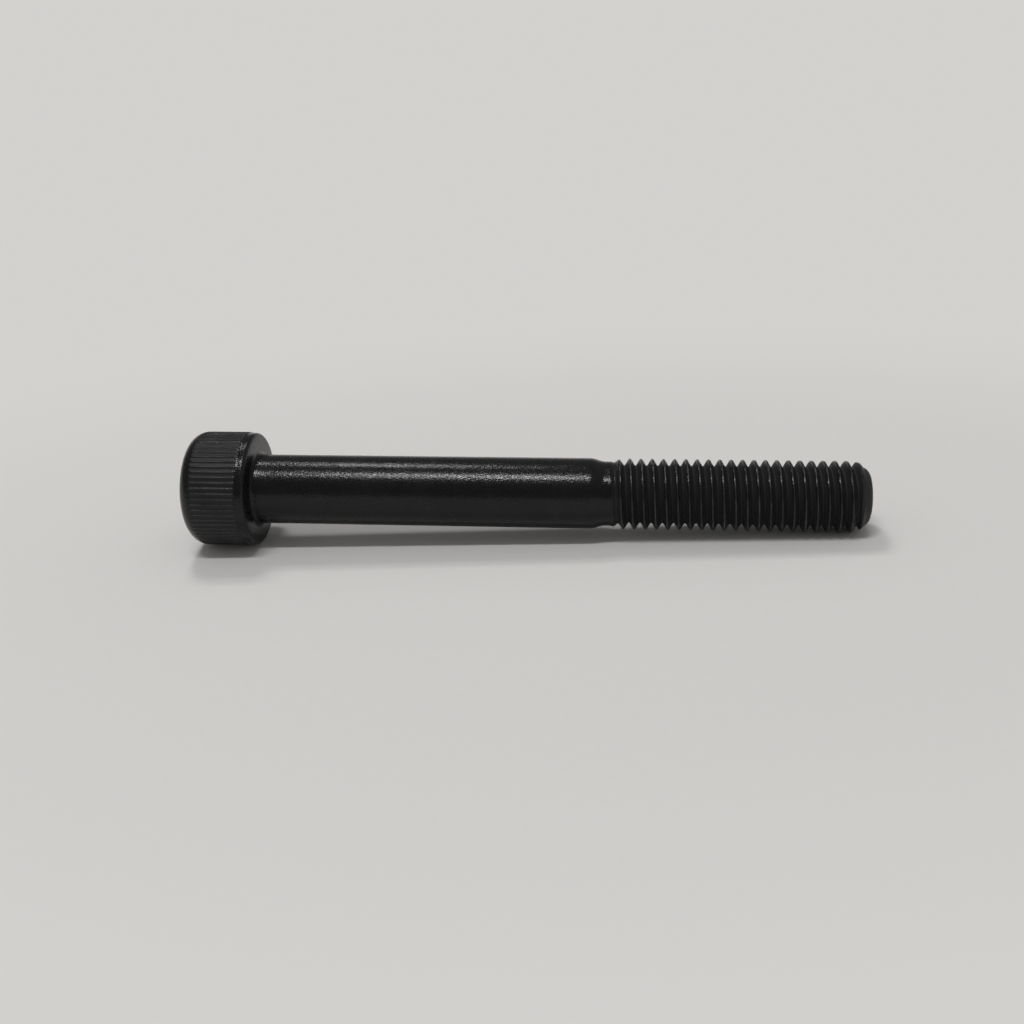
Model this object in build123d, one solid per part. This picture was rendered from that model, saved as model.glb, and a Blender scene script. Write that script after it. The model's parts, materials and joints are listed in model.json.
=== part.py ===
"""Socket head cap screw: a knurled head with a hexagon socket, a plain shank and a rolled thread.

Lengths are in millimetres and angles in degrees. The screw is one solid. It is made along its own
axis, local Z, with the bearing face of the head at zero, the head below it and the point far above.
Local X is the side that it lies on. At the end it is laid on the floor, where it rests on its
knurl and on the last full turn of its thread, with the head towards -X.
"""

import math
import os

from build123d import *

# Head, measured over the crests of the knurl
head_diameter = 13.15
head_height = 7.8
head_edge_radius = 1.95

# Straight knurl round the head, and the plain band between it and the bearing face
knurl_count = 66
knurl_depth = 0.15
knurl_runout = 0.3
groove_share = 0.8
band_length = 0.9
band_relief = 0.03
rim_radius = 0.55

# Hexagon socket for a key, with the cone that its drill leaves
socket_sides = 6
key_width = 6.0
key_clearance = 0.06
socket_depth = 4.4
mouth_margin = 0.2
drill_point_angle = 118.0

# Shank, and the taper down to the blank that the thread is rolled on
under_head_fillet = 0.5
shank_diameter = 7.97
shank_length = 38.3
taper_length = 1.75
neck_length = 0.45

# Thread, with the stretch over which it rises out of the neck
thread_diameter = 7.95
thread_pitch = 1.25
thread_length = 28.6
thread_runout = 1.7
flank_angle = 30.0
root_share = 0.31
blank_depth_share = 0.47

# Bevelled point, and the lead before it, where the crests of the last turn fall little by little
point_length = 1.3
point_diameter = 5.5
point_edge_radius = 0.6
lead_length = 1.04
lead_fall = 0.134632
last_crest_share = 0.5

# How far a tool or an inner core runs past the surface that it has to cross
overrun = 0.2

# How far along each side of a corner the handles of a quarter round reach
round_share = 0.5523

# Radii and places along the axis that follow from the sizes above
head_radius = head_diameter / 2
knurl_valley_radius = head_radius - knurl_depth
band_radius = knurl_valley_radius - band_relief
shank_radius = shank_diameter / 2
thread_radius = thread_diameter / 2
point_radius = point_diameter / 2
thread_depth = thread_pitch * (1 - root_share) / 2 / math.tan(math.radians(flank_angle))
root_radius = thread_radius - thread_depth
neck_radius = thread_radius - thread_depth * blank_depth_share
neck_start = shank_length + taper_length
thread_start = neck_start + neck_length
point_end = thread_start + thread_length
bevel_start = point_end - point_length
last_crest = bevel_start - thread_pitch * last_crest_share
full_crest = last_crest - thread_pitch

# The ridge of the thread is made in whole turns that run past the neck and past the point
turns_before = math.ceil((last_crest - thread_start) / thread_pitch) + 1
turns_after = math.ceil((point_end - last_crest) / thread_pitch) + 1
ridge_start = last_crest - turns_before * thread_pitch
core_end = last_crest + (turns_after + 1) * thread_pitch

# The two places where the lying screw touches the floor, as radius and place along the axis
tooth_angle = 360 / knurl_count
half_groove_angle = tooth_angle * groove_share / 2
knurl_rest_radius = head_radius * math.cos(math.radians(half_groove_angle))
rest_angle = math.degrees(math.atan2(knurl_rest_radius - thread_radius, full_crest + band_length))
rest_height = (
    thread_radius * math.cos(math.radians(rest_angle))
    + full_crest * math.sin(math.radians(rest_angle))
)


def turned(outline):
    """The solid of a closed outline, given as radius and place along the axis, turned round it."""
    return revolve(Plane.XZ * make_face(outline), Axis.Z)


def rounded(start, corner, end):
    """A smooth curve from start to end that rounds off the corner between them."""
    first = Vector(start) + (Vector(corner) - Vector(start)) * round_share
    second = Vector(end) + (Vector(corner) - Vector(end)) * round_share
    return Bezier(start, first, second, end)


def turned_body():
    """Head, shank, taper and neck, and the core of the thread, which runs on past the point."""
    top_middle = (0, -head_height)
    top_rim = (head_radius - head_edge_radius, -head_height)
    top_corner = (head_radius, -head_height)
    side_top = (head_radius, head_edge_radius - head_height)
    side_end = (head_radius, -band_length)
    band_top = (band_radius, -band_length)
    band_end = (band_radius, -rim_radius)
    rim_corner = (band_radius, 0)
    bearing_rim = (band_radius - rim_radius, 0)
    fillet_rim = (shank_radius + under_head_fillet, 0)
    fillet_corner = (shank_radius, 0)
    fillet_end = (shank_radius, under_head_fillet)
    shank_end = (shank_radius, shank_length)
    neck_top = (neck_radius, neck_start)
    neck_end = (neck_radius, thread_start)
    root_top = (root_radius, thread_start + thread_runout)
    root_end = (root_radius, core_end)
    core_middle = (0, core_end)

    return turned(
        Polyline(top_middle, top_rim)
        + rounded(top_rim, top_corner, side_top)
        + Polyline(side_top, side_end, band_top, band_end)
        + rounded(band_end, rim_corner, bearing_rim)
        + Polyline(bearing_rim, fillet_rim)
        + rounded(fillet_rim, fillet_corner, fillet_end)
        + Polyline(fillet_end, shank_end)
        + Spline(shank_end, neck_top, tangents=[(0, 1), (0, 1)])
        + Polyline(neck_top, neck_end, root_top, root_end, core_middle, top_middle)
    )


def thread_ridge():
    """One ridge along a helix, with two sloping flanks, whose base lies in the core."""
    base_half = thread_pitch * (1 - root_share / 2) / 2
    base_radius = thread_radius - base_half / math.tan(math.radians(flank_angle))
    section = [(base_radius, -base_half), (thread_radius, 0), (base_radius, base_half)]
    edges = [
        Edge.make_helix(thread_pitch, thread_pitch, radius).moved(Pos(0, 0, ridge_start + offset))
        for radius, offset in section
    ]
    one_turn = [Face.make_surface_from_curves(edges[i - 1], edge) for i, edge in enumerate(edges)]
    first_end = Face(Wire.make_polygon([edge.position_at(0) for edge in edges], close=True))
    turns = turns_before + turns_after
    faces = [first_end, first_end.moved(Pos(0, 0, turns * thread_pitch))]
    for turn in range(turns):
        faces += [face.moved(Pos(0, 0, turn * thread_pitch)) for face in one_turn]
    return Solid(Shell(Face.sew_faces(faces)[0]))


def rise_envelope():
    """The turned outline that lets the ridge rise from the neck to its full height."""
    slope = (thread_radius - neck_radius) / thread_runout
    outer_radius = thread_radius + overrun
    buried_start = thread_start - overrun
    rise_end = thread_start + (outer_radius - neck_radius) / slope
    return turned(
        Polyline(
            (0, buried_start),
            (neck_radius - overrun * slope, buried_start),
            (outer_radius, rise_end),
            (outer_radius, core_end),
            (0, core_end),
            close=True,
        )
    )


def point_envelope():
    """A turned outline, clear of the screw except where it makes the lead and bevels the point."""
    outer_radius = head_radius + overrun
    clear_radius = thread_radius + overrun
    head_clear = -head_height - overrun
    lead_slope = lead_fall / lead_length
    lead_start = bevel_start - lead_length
    clear_end = lead_start - overrun / lead_slope
    bevel_radius = thread_radius - lead_fall
    bevel_slope = (bevel_radius - point_radius) / point_length
    round_start = (point_radius + point_edge_radius * bevel_slope, point_end - point_edge_radius)
    round_end = (point_radius - point_edge_radius, point_end)
    return turned(
        Polyline(
            (0, head_clear),
            (outer_radius, head_clear),
            (outer_radius, clear_end),
            (clear_radius, clear_end),
            (bevel_radius, bevel_start),
            round_start,
        )
        + rounded(round_start, (point_radius, point_end), round_end)
        + Polyline(round_end, (0, point_end), (0, head_clear))
    )


def knurl_grooves():
    """The grooves of the knurl, each rising to the surface near the rounded edge, open at the band."""
    half_angle = math.radians(half_groove_angle)
    mouth_x = head_radius * math.cos(half_angle)
    mouth_y = head_radius * math.sin(half_angle)
    outer_x = mouth_x + overrun
    outer_y = mouth_y * (outer_x - knurl_valley_radius) / (mouth_x - knurl_valley_radius)
    section = make_face(
        Polyline((knurl_valley_radius, 0), (outer_x, -outer_y), (outer_x, outer_y), close=True)
    )
    groove_start = head_edge_radius - head_height
    groove = Pos(0, 0, groove_start) * extrude(section, overrun - band_length - groove_start)
    slope_foot = (knurl_valley_radius, 0, groove_start + knurl_runout)
    slope = Plane(slope_foot, x_dir=(0, 1, 0), z_dir=(knurl_depth, 0, knurl_runout))
    groove = split(groove, bisect_by=slope, keep=Keep.TOP)
    return [Rot(0, 0, tooth_angle * tooth) * groove for tooth in range(knurl_count)]


def socket():
    """The hexagon socket, its drilled bottom and the bevel at its mouth."""
    half_side_angle = 180 / socket_sides
    flat_radius = (key_width + key_clearance) / 2
    corner_radius = flat_radius / math.cos(math.radians(half_side_angle))
    hexagon = Rot(0, 0, half_side_angle) * RegularPolygon(corner_radius, side_count=socket_sides)
    prism = extrude(hexagon, socket_depth + overrun)
    cone_depth = flat_radius / math.tan(math.radians(drill_point_angle / 2))
    from_below = (Align.CENTER, Align.CENTER, Align.MIN)
    cone = Cone(flat_radius, 0, cone_depth, align=from_below)
    mouth_radius = corner_radius + mouth_margin
    bevel = Cone(mouth_radius, flat_radius, mouth_radius - flat_radius, align=from_below)
    return (
        Pos(0, 0, -head_height - overrun) * prism
        + Pos(0, 0, socket_depth - head_height) * cone
        + Pos(0, 0, -head_height) * bevel
    )


def lay_down(screw):
    """Turn the screw on its side, set it on the floor and put the middle of its length at zero."""
    lying = Pos(0, 0, rest_height) * Rot(0, 90 + rest_angle, 0) * screw
    return Pos(-lying.bounding_box().center().X, 0, 0) * lying


def cap_screw():
    """The whole screw as one solid, lying at rest."""
    ridge = thread_ridge() & rise_envelope()
    head_and_shank = turned_body() - knurl_grooves()
    screw = ((head_and_shank + ridge) & point_envelope()) - socket()
    return lay_down(screw.solid())


os.makedirs("parts", exist_ok=True)
export_step(cap_screw(), "parts/cap_screw.step")
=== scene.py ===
"""Socket head cap screw of blackened steel, lying on a pale studio floor.

The script is laid out as an add-on: two property groups hold the sizes, the finish and the light,
one operator makes the screw, one makes the stage, and a panel in the sidebar lists them. All
lengths are in metres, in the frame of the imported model.

Places on the screw are given as a place along its axis, measured from the bearing face towards the
point, a radius, and a turn round the axis, measured from the side that the screw lies on.
"""

import json
import math

import bpy
import numpy as np
from bpy.props import FloatProperty, FloatVectorProperty, IntProperty, PointerProperty
from mathutils import Matrix, Vector


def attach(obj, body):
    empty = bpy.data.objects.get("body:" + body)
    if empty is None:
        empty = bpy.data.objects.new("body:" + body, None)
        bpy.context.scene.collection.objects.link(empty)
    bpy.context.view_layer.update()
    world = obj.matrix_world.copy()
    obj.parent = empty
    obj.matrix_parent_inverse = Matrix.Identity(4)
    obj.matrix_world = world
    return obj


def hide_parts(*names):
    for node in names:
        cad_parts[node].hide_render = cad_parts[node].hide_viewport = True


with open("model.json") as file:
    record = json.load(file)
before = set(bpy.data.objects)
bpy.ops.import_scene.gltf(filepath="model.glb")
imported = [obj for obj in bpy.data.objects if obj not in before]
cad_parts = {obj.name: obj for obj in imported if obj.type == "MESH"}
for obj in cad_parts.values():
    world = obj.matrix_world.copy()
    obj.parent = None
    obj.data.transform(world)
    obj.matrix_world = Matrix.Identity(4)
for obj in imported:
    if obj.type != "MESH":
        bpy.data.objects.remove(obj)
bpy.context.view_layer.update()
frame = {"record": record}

bl_info = {
    "name": "Cap screw",
    "version": (1, 0, 0),
    "blender": (4, 5, 0),
    "location": "3D View > Sidebar > Cap screw",
    "description": "Builds a lying socket head cap screw of blackened steel and a studio stage",
    "category": "Object",
}

MM = 0.001

# Sides of the hexagon socket, and the turn from the middle of a side to its corner
SOCKET_SIDES = 6
HALF_SIDE_TURN = math.pi / SOCKET_SIDES

# How finely the skin of the screw is divided
POINTS_PER_SOCKET_SIDE = 16
POINTS_PER_KNURL_RIDGE = 12
POINTS_ROUND_SHANK = 112


def length(name, description, millimetres):
    """A property for a length, with its default in millimetres."""
    return FloatProperty(name=name, description=description, default=millimetres * MM, unit="LENGTH")


def share(name, description, value):
    """A property for a share of something, from nothing to all of it."""
    return FloatProperty(
        name=name, description=description, default=value, min=0.0, max=1.0, subtype="FACTOR"
    )


def angle(name, description, degrees):
    """A property for an angle, with its default in degrees."""
    return FloatProperty(
        name=name,
        description=description,
        default=math.radians(degrees),
        subtype="ANGLE",
        unit="ROTATION",
    )


def colour(name, description, value):
    """A property for a colour in linear light."""
    return FloatVectorProperty(
        name=name, description=description, default=value, min=0.0, max=1.0, subtype="COLOR"
    )


class ScrewSettings(bpy.types.PropertyGroup):
    """Sizes and finish of the screw."""

    head_diameter: length("Head diameter", "Over the crests of the knurl", 13.15)
    head_height: length("Head height", "From the bearing face to the flat top", 7.8)
    head_edge_radius: length("Head edge radius", "Round edge between the top and the side", 1.95)
    knurl_count: IntProperty(name="Knurl count", description="Ridges round the head", default=66)
    knurl_depth: length("Knurl depth", "From a crest to the bottom of a groove", 0.08)
    knurl_end: length("Knurl end", "From the bearing face to where the grooves begin to close", 1.05)
    groove_share: share("Groove share", "Part of the knurl's pitch that is groove", 0.92)
    band_relief: length("Band relief", "How far the plain band lies below the crests", 0.10)
    step_length: length("Step length", "Slope from the crests down to the band", 0.4)
    rim_radius: length("Rim radius", "Round edge of the band at the bearing face", 0.45)

    key_width: length("Key width", "Across the flats of the hexagon socket", 6.06)
    socket_depth: length("Socket depth", "From the top of the head to the end of the flats", 4.4)
    mouth_margin: length("Mouth margin", "How far the bevel reaches past the socket's corners", 0.2)

    fillet_radius: length("Fillet radius", "Round corner under the head", 0.5)
    shank_diameter: length("Shank diameter", "Plain part of the screw", 7.97)
    shank_length: length("Shank length", "From the bearing face to the taper", 38.3)
    taper_length: length("Taper length", "Slope from the shank down to the neck", 1.75)
    neck_diameter: length("Neck diameter", "Narrow part just before the thread", 7.25)

    thread_diameter: length("Thread diameter", "Over the crests of the thread", 7.945)
    thread_pitch: length("Thread pitch", "From one crest to the next", 1.25)
    thread_depth: length("Thread depth", "From a crest to the root", 0.76)
    thread_start: length("Thread start", "From the bearing face to the first rise of the thread", 40.5)
    thread_runout: length("Thread run-out", "Length over which the thread rises", 1.7)
    crest_share: share("Crest share", "Part of the pitch that the flat of the crest takes", 0.17)
    last_crest: length("Last crest", "Place of the last crest on the side that it lies on", 67.175)

    screw_length: length("Screw length", "From the bearing face to the point", 69.098)
    lead_start: length("Lead start", "Where the crests begin to fall before the point", 66.76)
    lead_fall: length("Lead fall", "How far the crests have fallen where the bevel begins", 0.135)
    point_length: length("Point length", "Length of the bevel at the point", 1.3)
    point_diameter: length("Point diameter", "Width of the bevel at its end", 5.5)
    point_edge: length("Point edge", "Round edge of the point", 0.6)

    steel_colour: colour("Steel colour", "Blackened surface", (0.0062, 0.0062, 0.0065))
    worn_colour: colour("Worn colour", "Bare metal that shows on worn edges", (0.20, 0.20, 0.20))
    roughness: share("Roughness", "Of the plain blackened surface", 0.135)
    dull_roughness: share("Dull roughness", "Of the flanks of the thread, where no hand rubs", 0.55)
    grain: share("Grain", "Strength of the sandy grain in the surface", 0.4)
    refraction: FloatProperty(
        name="Refraction", description="Index that sets how strong the gloss is", default=1.35, min=1.0
    )


class StageSettings(bpy.types.PropertyGroup):
    """Floor, light and camera."""

    floor_colour: colour("Floor colour", "Pale paper", (0.63, 0.615, 0.60))
    light_level: FloatProperty(
        name="Light level", description="Scales all lamps together", default=1.0, min=0.0
    )
    camera_place: FloatVectorProperty(
        name="Camera place",
        description="Where the camera stands",
        default=(16.123 * MM, -130.57 * MM, 58.858 * MM),
        subtype="TRANSLATION",
        unit="LENGTH",
    )
    camera_turn: angle("Camera turn", "Heading of the view, from straight along +Y", 7.6123)
    camera_dip: angle("Camera dip", "How far the view looks down", 23.0)
    camera_roll: angle("Camera roll", "How far the camera leans", -4.137)
    focal_length: FloatProperty(
        name="Focal length", description="In millimetres on a 36 mm sensor", default=43.945, min=1.0
    )


class Shade:
    """A socket of a node tree that takes part in ordinary arithmetic."""

    # Where a Mix node that mixes colours keeps its sockets
    mix_factor, mix_first, mix_second, mix_result = 0, 6, 7, 2

    def __init__(self, tree, socket=None):
        self.tree = tree
        self.socket = socket

    def node(self, kind, settings=None, inputs=None, output=0):
        """Add a node, set it up, feed its inputs, and return one of its outputs, if it has any."""
        made = self.tree.nodes.new(kind)
        for key, value in (settings or {}).items():
            setattr(made, key, value)
        for key, value in (inputs or {}).items():
            if isinstance(value, Shade):
                self.tree.links.new(value.socket, made.inputs[key])
            else:
                made.inputs[key].default_value = value
        return Shade(self.tree, made.outputs[output]) if len(made.outputs) else None

    def maths(self, operation, *values):
        """A Math node over this socket and the values."""
        return self.node(
            "ShaderNodeMath", {"operation": operation}, dict(enumerate((self, *values)))
        )

    def __add__(self, other):
        return self.maths("ADD", other)

    def __radd__(self, other):
        return self.maths("ADD", other)

    def __sub__(self, other):
        return self.maths("SUBTRACT", other)

    def __rsub__(self, other):
        return self.maths("MULTIPLY_ADD", -1.0, other)

    def __mul__(self, other):
        return self.maths("MULTIPLY", other)

    def __rmul__(self, other):
        return self.maths("MULTIPLY", other)

    def between(self, low, high):
        """0 where this is at or under low, 1 at or over high, and a smooth rise between them."""
        return self.node(
            "ShaderNodeMapRange",
            {"interpolation_type": "SMOOTHSTEP"},
            {"Value": self, "From Min": low, "From Max": high},
        )

    def mix(self, first, second):
        """Colours mixed by this socket: first at 0, second at 1."""
        return self.node(
            "ShaderNodeMix",
            {"data_type": "RGBA"},
            {self.mix_factor: self, self.mix_first: first, self.mix_second: second},
            output=self.mix_result,
        )


def fresh_nodes(owner):
    """Clear the node tree of a material or of the world, and return a Shade to start from."""
    owner.use_nodes = True
    owner.node_tree.nodes.clear()
    return Shade(owner.node_tree)


def opaque(rgb):
    """A colour with full alpha."""
    return (*rgb, 1.0)


def grey(level):
    """A neutral colour with full alpha."""
    return (level, level, level, 1.0)


def blackened_steel(s):
    """Black oxide on steel: near black and satin, with a sandy grain and worn bright edges."""
    material = bpy.data.materials.new("blackened_steel")
    start = fresh_nodes(material)
    place = start.node("ShaderNodeTexCoord", output="Object")

    def noise(scale, detail):
        inputs = {"Vector": place, "Scale": scale, "Detail": detail, "Roughness": 0.6}
        return start.node("ShaderNodeTexNoise", None, inputs)

    def painted(name):
        return start.node("ShaderNodeAttribute", {"attribute_name": name}, output="Fac")

    grain = noise(scale=6500.0, detail=0.0)
    fine = noise(scale=9000.0, detail=0.0)
    cloud = noise(scale=420.0, detail=4.0)
    edge = painted("wear")
    dull = painted("dull")

    # Colour: a cloudy coat, paler where it is dull, with bare metal in patches along worn edges
    dark_share, dusty_share, dull_share = 0.8, 1.25, 2.6
    least_patch, patch_spread, most_worn = 0.35, 0.9, 0.5
    dusty_range, worn_range = (0.35, 0.75), (0.45, 0.95)
    steel = Vector(s.steel_colour)
    dusty = cloud.between(*dusty_range)
    coat = dusty.mix(opaque(steel * dark_share), opaque(steel * dusty_share))
    patches = edge * (least_patch + patch_spread * cloud)
    worn = most_worn * patches.between(*worn_range)
    base = worn.mix(dull.mix(coat, opaque(steel * dull_share)), opaque(s.worn_colour))

    # Sheen: soft clouds and a sandy speckle, and far rougher where it is dull
    cloudiness, speckle = 0.06, 0.16
    cloud_middle, speckle_range = 0.5, (0.40, 0.62)
    sandy = fine.between(*speckle_range)
    rough = s.roughness + cloudiness * (cloud - cloud_middle) + speckle * sandy
    rough = rough + (s.dull_roughness - s.roughness) * dull

    # Relief of the sandy grain
    grain_height, fine_share = 0.04 * MM, 0.4
    height = grain + fine_share * fine
    relief = start.node(
        "ShaderNodeBump", None, {"Strength": s.grain, "Distance": grain_height, "Height": height}
    )
    shader = start.node(
        "ShaderNodeBsdfPrincipled",
        None,
        {"Base Color": base, "Roughness": rough, "Normal": relief, "IOR": s.refraction},
    )
    start.node("ShaderNodeOutputMaterial", None, {"Surface": shader})
    return material


def screw_axis(s):
    """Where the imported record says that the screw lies: bearing-face centre, axis, down and side."""
    mount = next(m for m in frame["record"]["mounts"] if m["name"] == "key_socket")
    along = -Vector(mount["axis"]).normalized()
    centre = Vector(mount["pos_m"]) + along * s.head_height
    side = Vector((0.0, 1.0, 0.0))
    return centre, along, side.cross(along), side


def smooth_step(values, low, high):
    """0 at or under low, 1 at or over high, and a smooth rise between them."""
    share_of = np.clip((values - low) / (high - low), 0.0, 1.0)
    return share_of * share_of * (3.0 - 2.0 * share_of)


def soft_ramp(values, softness):
    """Zero under zero and the value itself over it, with the corner rounded off."""
    middle = (values + softness) ** 2 / (4.0 * softness)
    return np.where(values < -softness, 0.0, np.where(values > softness, values, middle))


def quarter_drop(share_of):
    """How far a quarter round of radius 1 has dropped at a share of its length from its level end."""
    level = np.clip(share_of, 0.0, 1.0)
    return 1.0 - np.sqrt(1.0 - level * level)


def even_turns(count):
    """Turns of the points of a ring, evenly spaced."""
    return np.arange(count) * (math.tau / count)


def quarter_angles(step):
    """Angles from level to upright in steps that are given in degrees."""
    return [math.radians(degrees) for degrees in range(0, 91, step)]


class Skin:
    """A closed skin of rows of points round the screw's axis, from the socket to the point."""

    def __init__(self, axis):
        self.centre, self.along, self.down, self.side = (np.array(v) for v in axis)
        self.points = []
        self.wear = []
        self.dull = []
        self.faces = []

    def add(self, places, radii, turns, wear=0.0, dull=0.0):
        """Add points and return their numbers. A single value holds for all of them."""
        places, radii, turns, wear, dull = np.broadcast_arrays(places, radii, turns, wear, dull)
        first = len(self.points)
        across = np.cos(turns)[:, None] * self.down + np.sin(turns)[:, None] * self.side
        self.points.extend(self.centre + places[:, None] * self.along + radii[:, None] * across)
        self.wear.extend(wear)
        self.dull.extend(dull)
        return list(range(first, first + len(places)))

    def strip(self, first, second):
        """Faces between two open rows with the same number of points."""
        for i in range(len(first) - 1):
            self.faces.append((first[i], first[i + 1], second[i + 1], second[i]))

    def join(self, first, second):
        """Faces between two closed rings, which may have different numbers of points."""
        if len(first) == len(second):
            self.strip(first + first[:1], second + second[:1])
            return
        i = j = 0
        while i < len(first) or j < len(second):
            here, there = first[i % len(first)], second[j % len(second)]
            if (i + 1) * len(second) <= (j + 1) * len(first):
                i += 1
                self.faces.append((here, first[i % len(first)], there))
            else:
                j += 1
                self.faces.append((here, second[j % len(second)], there))

    def chain(self, rings):
        """Join each ring to the next."""
        for first, second in zip(rings, rings[1:]):
            self.join(first, second)

    def fan(self, ring, place, outward):
        """Close a ring with triangles that meet on the axis."""
        middle = self.add([place], 0.0, 0.0)[0]
        for here, after in zip(ring, ring[1:] + ring[:1]):
            self.faces.append((here, after, middle) if outward else (after, here, middle))

    def mesh(self, name, sharp_angle):
        """The finished mesh, smooth apart from its sharp edges, with its wear and dullness."""
        mesh = bpy.data.meshes.new(name)
        mesh.from_pydata([tuple(p) for p in self.points], [], self.faces)
        for key, values in (("wear", self.wear), ("dull", self.dull)):
            mesh.attributes.new(key, "FLOAT", "POINT").data.foreach_set("value", values)
        mesh.polygons.foreach_set("use_smooth", [True] * len(mesh.polygons))
        mesh.set_sharp_from_angle(angle=sharp_angle)
        mesh.validate()
        return mesh


def mouth_radius(s):
    """Radius of the bevel at the mouth of the socket."""
    return s.key_width / 2 / math.cos(HALF_SIDE_TURN) + s.mouth_margin


def socket_rings(skin, s):
    """The hexagon socket, from its drilled bottom up to its mouth in the top of the head."""
    drill_half_angle = math.radians(59.0)
    drill_share = 0.97
    wall_wear, lip_wear = 0.3, 0.5
    turns = even_turns(SOCKET_SIDES * POINTS_PER_SOCKET_SIDE)
    flat = s.key_width / 2
    off_flat = (turns + HALF_SIDE_TURN) % (2 * HALF_SIDE_TURN) - HALF_SIDE_TURN
    hexagon = flat / np.cos(off_flat)
    mouth = mouth_radius(s)
    floor = s.socket_depth - s.head_height

    drilled = skin.add(floor, flat * drill_share, turns)
    skin.fan(drilled, floor + flat / math.tan(drill_half_angle), False)
    foot = skin.add(floor, hexagon, turns)
    wall_top = skin.add(mouth - hexagon - s.head_height, hexagon, turns, wall_wear)
    lip = skin.add(-s.head_height, mouth, turns, lip_wear)
    skin.chain([drilled, foot, wall_top, lip])
    return lip


def band_share(s, place):
    """0 on the knurl, 1 on the plain band, and a smooth rise on the slope between them."""
    step_start = -s.knurl_end - s.step_length / 2
    return smooth_step(place, step_start, step_start + s.step_length)


def plain_head_radius(s, place):
    """The head with no knurl: round edge, side, step down to the band and round rim."""
    round_end = s.head_edge_radius - s.head_height
    edge_drop = s.head_edge_radius * quarter_drop((round_end - place) / s.head_edge_radius)
    rim_drop = s.rim_radius * quarter_drop((place + s.rim_radius) / s.rim_radius)
    return s.head_diameter / 2 - edge_drop - band_share(s, place) * s.band_relief - rim_drop


def knurl_ring(skin, s, turns, place):
    """One ring round the outside of the head, with its grooves, worn crests and dull grooves."""
    groove_power = 4.0
    groove_dull, rim_dull = 0.5, 0.2
    worn_start_share, worn_end_share = 0.8, 1.02
    dull_depth_share, dull_rim_share = 0.5, 0.5
    unworn_edge = 1.0 * MM
    crest = s.head_diameter / 2
    pitch_turn = math.tau / s.knurl_count
    across = np.abs((turns + pitch_turn / 2) % pitch_turn - pitch_turn / 2) * crest
    half_groove = pitch_turn * crest * s.groove_share / 2
    past_end = max(0.0, place + s.knurl_end)
    distance = np.hypot(across, past_end) / half_groove
    groove = crest - s.knurl_depth + s.knurl_depth * distance ** groove_power
    plain = plain_head_radius(s, place)
    radii = np.minimum(plain, groove)

    on_crest = smooth_step(across, half_groove * worn_start_share, half_groove * worn_end_share)
    on_side = smooth_step(place, unworn_edge - s.head_height, s.head_edge_radius - s.head_height)
    wear = on_crest * on_side * (1.0 - band_share(s, place))
    in_groove = smooth_step(plain - radii, 0.0, dull_depth_share * s.knurl_depth)
    on_rim = smooth_step(place, -s.rim_radius, -dull_rim_share * s.rim_radius)
    dull = np.maximum(groove_dull * in_groove, rim_dull * on_rim)
    return skin.add(place, radii, turns, wear, dull)


def head_places(s):
    """Where the rings of the head lie: close together on its round edges and where the knurl ends."""
    top = -s.head_height
    round_end = top + s.head_edge_radius
    knurl_end_start = -s.knurl_end - s.step_length / 2
    before_end, past_end = 0.1 * MM, 0.5 * MM
    edge_step, rim_step = 6, 15
    side_rings, end_rings = 6, 16
    places = [top + s.head_edge_radius * (1.0 - math.cos(a)) for a in quarter_angles(edge_step)]
    places += list(np.linspace(round_end, knurl_end_start - before_end, side_rings)[1:])
    places += list(np.linspace(knurl_end_start, -s.knurl_end + past_end, end_rings))
    places += [-s.rim_radius * (1.0 - math.sin(a)) for a in quarter_angles(rim_step)]
    return places


def head_rings(skin, s, mouth_ring):
    """The outside of the head, with its knurl, from the top to the bearing face."""
    top_margin, bearing_margin = 0.25 * MM, 0.4 * MM
    turns = even_turns(s.knurl_count * POINTS_PER_KNURL_RIDGE)
    first = skin.add(-s.head_height, mouth_radius(s) + top_margin, turns)
    skin.join(mouth_ring, first)
    rings = [first] + [knurl_ring(skin, s, turns, place) for place in head_places(s)]
    inner = skin.add(0.0, s.shank_diameter / 2 + s.fillet_radius + bearing_margin, turns)
    skin.chain(rings + [inner])
    return inner


def shank_rings(skin, s, head_ring):
    """The fillet under the head, the shank, the taper and the neck."""
    turns = even_turns(POINTS_ROUND_SHANK)
    first_place = 2.0 * MM
    fillet_step, shank_count, taper_count = 15, 12, 15
    shank = s.shank_diameter / 2
    neck = s.neck_diameter / 2
    rings = [head_ring]
    for a in quarter_angles(fillet_step):
        place = s.fillet_radius * (1.0 - math.cos(a))
        rings.append(skin.add(place, shank + s.fillet_radius * (1.0 - math.sin(a)), turns))
    for place in np.linspace(first_place, s.shank_length, shank_count):
        rings.append(skin.add(place, shank, turns))
    for share_of in np.linspace(0.0, 1.0, taper_count)[1:]:
        place = s.shank_length + s.taper_length * share_of
        radius = shank + (neck - shank) * smooth_step(share_of, 0.0, 1.0)
        rings.append(skin.add(place, radius, turns))
    skin.chain(rings)
    return rings[-1]


def off_crest(s, places, turns):
    """Distance along the axis from the middle of the nearest crest of the thread."""
    phase = (places - s.last_crest) / s.thread_pitch - turns / math.tau
    return np.abs((phase + 0.5) % 1.0 - 0.5) * s.thread_pitch


def risen_share(s, places):
    """How much of its full height the thread has, from 0 on the neck to 1."""
    before_start = 0.1 * MM
    return smooth_step(places, s.thread_start - before_start, s.thread_start + s.thread_runout)


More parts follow.
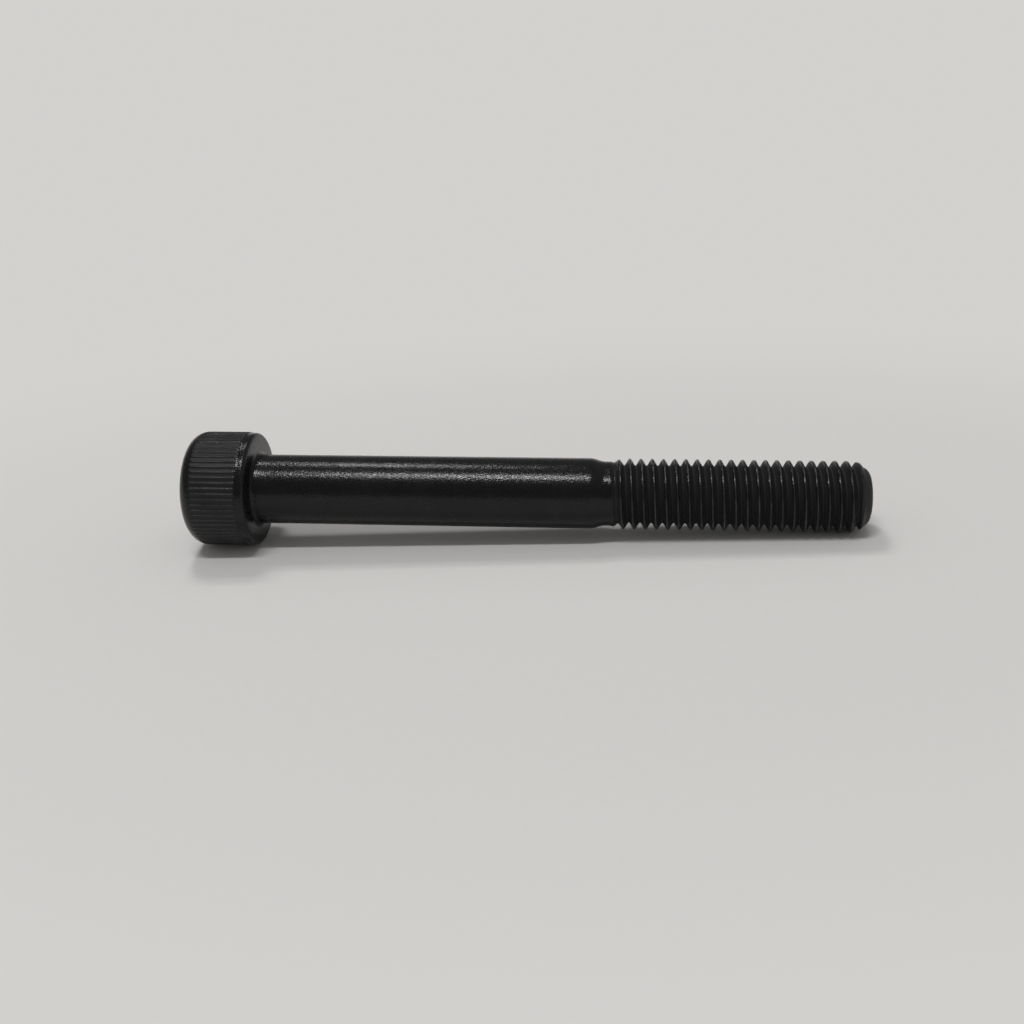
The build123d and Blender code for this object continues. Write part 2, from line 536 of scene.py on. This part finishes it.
def point_radii(s, places):
    """Radius of the lead, the bevel and the round edge of the point."""
    bevel_start = s.screw_length - s.point_length
    crest = s.thread_diameter / 2
    lead = crest - s.lead_fall * (places - s.lead_start) / (bevel_start - s.lead_start)
    slope = (crest - s.lead_fall - s.point_diameter / 2) / s.point_length
    bevel = np.minimum(lead, s.point_diameter / 2 + (s.screw_length - places) * slope)
    left = np.clip((s.screw_length - places) / s.point_edge, 0.0, 1.0)
    rounding = 1.0 - np.sqrt(left)
    return bevel - s.point_edge * rounding * rounding


def thread_radii(s, places, turns):
    """Radius of the neck, the thread and the point at places along the axis and turns round it."""
    flank_angle = math.radians(30.0)
    crest_softness, root_softness, point_softness = 0.05 * MM, 0.12 * MM, 0.06 * MM
    crest = s.thread_diameter / 2
    neck = s.neck_diameter / 2
    root = crest - s.thread_depth
    risen = risen_share(s, places)
    past_flat = off_crest(s, places, turns) - s.crest_share * s.thread_pitch / 2
    fall = soft_ramp(past_flat / math.tan(flank_angle), crest_softness)
    fall = s.thread_depth - soft_ramp(s.thread_depth - fall, root_softness)
    low = neck + (root - neck) * risen
    high = neck + (crest - neck) * risen
    radii = high - (high - low) * fall / s.thread_depth
    limit = point_radii(s, places)
    return limit - soft_ramp(limit - radii, point_softness)


def thread_finish(s, places, turns):
    """How worn and how dull the thread is: worn crests, and dull seams, flanks and point."""
    crest_wear, seam_dull, point_dull = 0.8, 0.5, 0.5
    worn_width = 0.16 * MM
    seam_start, seam_end = 0.02 * MM, 0.08 * MM
    flank_start, flank_end = 0.10 * MM, 0.30 * MM
    off = off_crest(s, places, turns)
    risen = risen_share(s, places)
    wear = crest_wear * (1.0 - smooth_step(off, 0.0, worn_width)) * risen
    seam = seam_dull * (1.0 - smooth_step(off, seam_start, seam_end))
    flank = smooth_step(off, flank_start, flank_end)
    on_point = smooth_step(places, s.screw_length - s.point_length, s.screw_length)
    return wear, np.maximum(np.maximum(flank, seam) * risen, point_dull * on_point)


def thread_row_shares(s):
    """Shares of a pitch, from root to root, at which the thread has its rows of points."""
    root, crest = 0.0, 0.5
    inner_share, edge_share = 0.6, 0.05
    half_flat = s.crest_share / 2
    crest_shares = [half_flat * inner_share, half_flat, half_flat + edge_share]
    flank_shares = [0.2, 0.3, 0.38, 0.44]
    offsets = crest_shares + flank_shares
    return sorted([root, crest] + [crest - o for o in offsets] + [crest + o for o in offsets])


def thread_skin(skin, s, neck_ring):
    """The thread on a grid that follows its helix, and the point."""
    point_margin = 0.45 * MM
    point_step = 10
    turns = even_turns(POINTS_ROUND_SHANK)
    climb = turns / math.tau * s.thread_pitch
    row_shares = thread_row_shares(s)
    rows_per_turn = len(row_shares)

    # The first row lies on a root, just before the thread begins to rise
    turns_back = math.ceil((s.last_crest - s.thread_start) / s.thread_pitch)
    first_place = s.last_crest - (turns_back + 0.5) * s.thread_pitch
    whole_turns = int((s.screw_length - point_margin - first_place) / s.thread_pitch) - 1
    last_row = whole_turns * rows_per_turn
    last_place = first_place + whole_turns * s.thread_pitch
    end_place = last_place + s.thread_pitch

    def row_place(row):
        """Where a row of the helix begins."""
        return first_place + (row // rows_per_turn + row_shares[row % rows_per_turn]) * s.thread_pitch

    def add_row(places, row_turns):
        radii = thread_radii(s, places, row_turns)
        return skin.add(places, radii, row_turns, *thread_finish(s, places, row_turns))

    # Rows of the helix, each of which ends at the beginning of the row one turn further on
    begin = add_row(first_place, turns)
    grid = [begin[:1] + add_row(first_place + climb[1:], turns[1:])]
    grid += [add_row(row_place(row) + climb, turns) for row in range(1, last_row + 1)]
    tail = [add_row(row_place(last_row + 1 + row), turns[:1])[0] for row in range(rows_per_turn)]
    column = [row[0] for row in grid] + tail
    whole_rows = [row + [end] for row, end in zip(grid, column[rows_per_turn:])]
    for here, after in zip(whole_rows, whole_rows[1:]):
        skin.strip(here, after)

    # The wedge between the level end of the neck and the first row of the helix
    skin.join(neck_ring, begin)
    wedge = [begin[1:]]
    wedge += [add_row(first_place + climb[1:] * portion, turns[1:]) for portion in row_shares[1:]]
    wedge += [grid[0][1:]]
    wedge = [row + [end] for row, end in zip(wedge, column)]
    for here, after in zip(wedge, wedge[1:]):
        skin.strip(here, after)
        skin.faces.append((begin[0], here[0], after[0]))

    # The wedge between the last row of the helix and a level ring near the point
    left = s.thread_pitch - climb[1:]
    wedge = [grid[-1][1:]]
    wedge += [add_row(last_place + climb[1:] + left * portion, turns[1:]) for portion in row_shares[1:]]
    wedge += [add_row(end_place, turns[1:])]
    wedge = [[start] + row for start, row in zip(column[last_row:], wedge)]
    for here, after in zip(wedge, wedge[1:]):
        skin.strip(here, after)
        skin.faces.append((here[-1], column[-1], after[-1]))

    # The rest of the point, closed by its flat end
    rings = [wedge[-1]]
    for a in quarter_angles(point_step)[1:]:
        rings.append(add_row(end_place + (s.screw_length - end_place) * math.sin(a), turns))
    rings.append(skin.add(s.screw_length, s.point_diameter / 4, turns))
    skin.chain(rings)
    skin.fan(rings[-1], s.screw_length, True)


def place_piece(name, mesh, material):
    """Put a piece into the scene, on its body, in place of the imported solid."""
    piece = bpy.data.objects.new(name, mesh)
    bpy.context.scene.collection.objects.link(piece)
    mesh.materials.append(material)
    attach(piece, "root")
    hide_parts("cap_screw")


class OBJECT_OT_cap_screw(bpy.types.Operator):
    """Make the screw: socket, knurled head, shank, thread and point, in blackened steel"""

    bl_idname = "object.cap_screw"
    bl_label = "Make screw"

    def execute(self, context):
        s = context.scene.screw_settings
        skin = Skin(screw_axis(s))
        mouth = socket_rings(skin, s)
        under_head = head_rings(skin, s, mouth)
        neck = shank_rings(skin, s, under_head)
        thread_skin(skin, s, neck)
        mesh = skin.mesh("screw", sharp_angle=math.radians(38.0))
        place_piece("screw", mesh, blackened_steel(s))
        return {"FINISHED"}


def shown_to_the_eye(start):
    """1 for a ray that shows a thing straight, in gloss or through glass, and 0 for one that lights."""
    straight, gloss, glass = (
        start.node("ShaderNodeLightPath", output=f"Is {kind} Ray")
        for kind in ("Camera", "Glossy", "Transmission")
    )
    return straight.maths("MAXIMUM", gloss).maths("MAXIMUM", glass)


def backdrop_colour(s):
    """The tone of the floor where no lamp or shadow falls on it, just above its own colour."""
    lift = 1.04
    return opaque(Vector(s.floor_colour) * lift)


def paper(s):
    """Pale paper. Far from the screw it shows an even tone, so that no horizon is seen."""
    material = bpy.data.materials.new("paper")
    start = fresh_nodes(material)
    place = start.node("ShaderNodeTexCoord", output="Object")

    # Fibres that are hardly darker or paler than the sheet
    fibre = start.node("ShaderNodeTexNoise", None, {"Vector": place, "Scale": 900.0, "Detail": 4.0})
    dark_share, pale_share = 0.985, 1.015
    tint = Vector(s.floor_colour)
    colours = fibre.mix(opaque(tint * dark_share), opaque(tint * pale_share))
    lit = start.node(
        "ShaderNodeBsdfPrincipled",
        None,
        {"Base Color": colours, "Roughness": 1.0, "Specular IOR Level": 0.0},
    )

    # The even tone comes in round an oval that is wider than it is deep
    oval = (0.9, 1.3, 1.0)
    fade_start, fade_end = 45.0 * MM, 120.0 * MM
    stretched = start.node("ShaderNodeVectorMath", {"operation": "MULTIPLY"}, {0: place, 1: oval})
    distance = start.node(
        "ShaderNodeVectorMath", {"operation": "LENGTH"}, {0: stretched}, output="Value"
    )
    far = shown_to_the_eye(start) * distance.between(fade_start, fade_end)
    even = start.node("ShaderNodeEmission", None, {"Color": backdrop_colour(s)})
    sheet = start.node("ShaderNodeMixShader", None, {0: far, 1: lit, 2: even})
    start.node("ShaderNodeOutputMaterial", None, {"Surface": sheet})
    return material


def sweep_mesh():
    """A floor that curves up into a low wall behind the screw."""
    half_width = 1.5
    front, bend_start, bend_radius, wall_top = -1.5, 0.55, 0.05, 0.1
    bend_step = 5
    line = [(front, 0.0)]
    for a in quarter_angles(bend_step):
        line.append((bend_start + bend_radius * math.sin(a), bend_radius * (1.0 - math.cos(a))))
    line.append((bend_start + bend_radius, wall_top))
    points = [(x, y, z) for y, z in line for x in (-half_width, half_width)]
    faces = [(2 * i, 2 * i + 1, 2 * i + 3, 2 * i + 2) for i in range(len(line) - 1)]
    mesh = bpy.data.meshes.new("sweep")
    mesh.from_pydata(points, [], faces)
    mesh.polygons.foreach_set("use_smooth", [True] * len(mesh.polygons))
    return mesh


def add_lamp(name, degrees, sideways, size, watts, mirrored=True):
    """An area lamp that looks at the screw; its angle runs from the viewer up and over to the back."""
    distance = 0.8
    lamp = bpy.data.lights.new(name, "AREA")
    lamp.shape = "RECTANGLE"
    lamp.size, lamp.size_y = size
    lamp.energy = watts
    holder = bpy.data.objects.new(name, lamp)
    bpy.context.scene.collection.objects.link(holder)
    turn = math.radians(degrees)
    place = Vector((sideways, -math.cos(turn) * distance, math.sin(turn) * distance))
    away = place.normalized()
    up = away.cross(Vector((1.0, 0.0, 0.0))).normalized()
    turned = Matrix((up.cross(away), up, away)).transposed().to_4x4()
    holder.matrix_world = Matrix.Translation(place) @ turned
    holder.visible_camera = False
    holder.visible_glossy = mirrored


def room_light(s):
    """The room: even light, and a backdrop as pale as the floor that darkens towards the ceiling."""
    light, ceiling_shade, right_shade = grey(0.39), grey(0.16), grey(0.3)
    horizon_top = 0.1
    to_the_right, right_range = (0.95, 0.2, 0.24), (0.35, 0.95)
    world = bpy.data.worlds.new("room")
    bpy.context.scene.world = world
    start = fresh_nodes(world)
    heading = start.node("ShaderNodeTexCoord", output="Generated")
    lean = start.node(
        "ShaderNodeVectorMath",
        {"operation": "DOT_PRODUCT"},
        {0: heading, 1: to_the_right},
        output="Value",
    )
    ceiling = lean.between(*right_range).mix(ceiling_shade, right_shade)
    height = start.node("ShaderNodeSeparateXYZ", None, {"Vector": heading}, output="Z")
    backdrop = height.between(0.0, horizon_top).mix(backdrop_colour(s), ceiling)
    tone = shown_to_the_eye(start).mix(light, backdrop)
    sky = start.node("ShaderNodeBackground", None, {"Color": tone})
    start.node("ShaderNodeOutputWorld", None, {"Surface": sky})


def add_camera(s):
    """The camera, where the photograph was taken from."""
    camera = bpy.data.cameras.new("camera")
    camera.lens = s.focal_length
    camera.sensor_width = 36.0
    camera.clip_start = 5.0 * MM
    holder = bpy.data.objects.new("camera", camera)
    bpy.context.scene.collection.objects.link(holder)
    turned = (
        Matrix.Rotation(s.camera_turn, 4, "Z")
        @ Matrix.Rotation(math.pi / 2 - s.camera_dip, 4, "X")
        @ Matrix.Rotation(s.camera_roll, 4, "Z")
    )
    holder.matrix_world = Matrix.Translation(Vector(s.camera_place)) @ turned
    bpy.context.scene.camera = holder


class OBJECT_OT_screw_stage(bpy.types.Operator):
    """Make the stage: paper sweep, lamps, room and camera"""

    bl_idname = "object.screw_stage"
    bl_label = "Make stage"

    def execute(self, context):
        s = context.scene.stage_settings
        sweep = bpy.data.objects.new("sweep", sweep_mesh())
        context.scene.collection.objects.link(sweep)
        sweep.data.materials.append(paper(s))

        level = s.light_level
        add_lamp("front_lamp", degrees=73.5, sideways=-0.06, size=(0.30, 0.06), watts=2.45 * level)
        add_lamp("back_lamp", degrees=113.5, sideways=-0.16, size=(0.12, 0.07), watts=0.65 * level)
        add_lamp(
            "back_fill",
            degrees=120.5,
            sideways=-0.19,
            size=(0.18, 0.08),
            watts=1.10 * level,
            mirrored=False,
        )
        room_light(s)
        add_camera(s)
        context.scene.view_settings.view_transform = "Standard"
        return {"FINISHED"}


class VIEW3D_PT_cap_screw(bpy.types.Panel):
    """Sizes, finish and stage of the cap screw"""

    bl_label = "Cap screw"
    bl_space_type = "VIEW_3D"
    bl_region_type = "UI"
    bl_category = "Cap screw"

    def draw(self, context):
        groups = (
            (context.scene.screw_settings, "object.cap_screw"),
            (context.scene.stage_settings, "object.screw_stage"),
        )
        for settings, operator in groups:
            box = self.layout.box()
            for key in settings.__annotations__:
                box.prop(settings, key)
            box.operator(operator)


CLASSES = (
    ScrewSettings,
    StageSettings,
    OBJECT_OT_cap_screw,
    OBJECT_OT_screw_stage,
    VIEW3D_PT_cap_screw,
)


def register():
    """Add the classes and the settings to Blender."""
    for item in CLASSES:
        bpy.utils.register_class(item)
    bpy.types.Scene.screw_settings = PointerProperty(type=ScrewSettings)
    bpy.types.Scene.stage_settings = PointerProperty(type=StageSettings)


def unregister():
    """Take them out again."""
    del bpy.types.Scene.stage_settings
    del bpy.types.Scene.screw_settings
    for item in reversed(CLASSES):
        bpy.utils.unregister_class(item)


def main():
    """Build everything: register the add-on, then make the screw and the stage."""
    register()
    bpy.ops.object.cap_screw()
    bpy.ops.object.screw_stage()


if __name__ == "__main__":
    main()
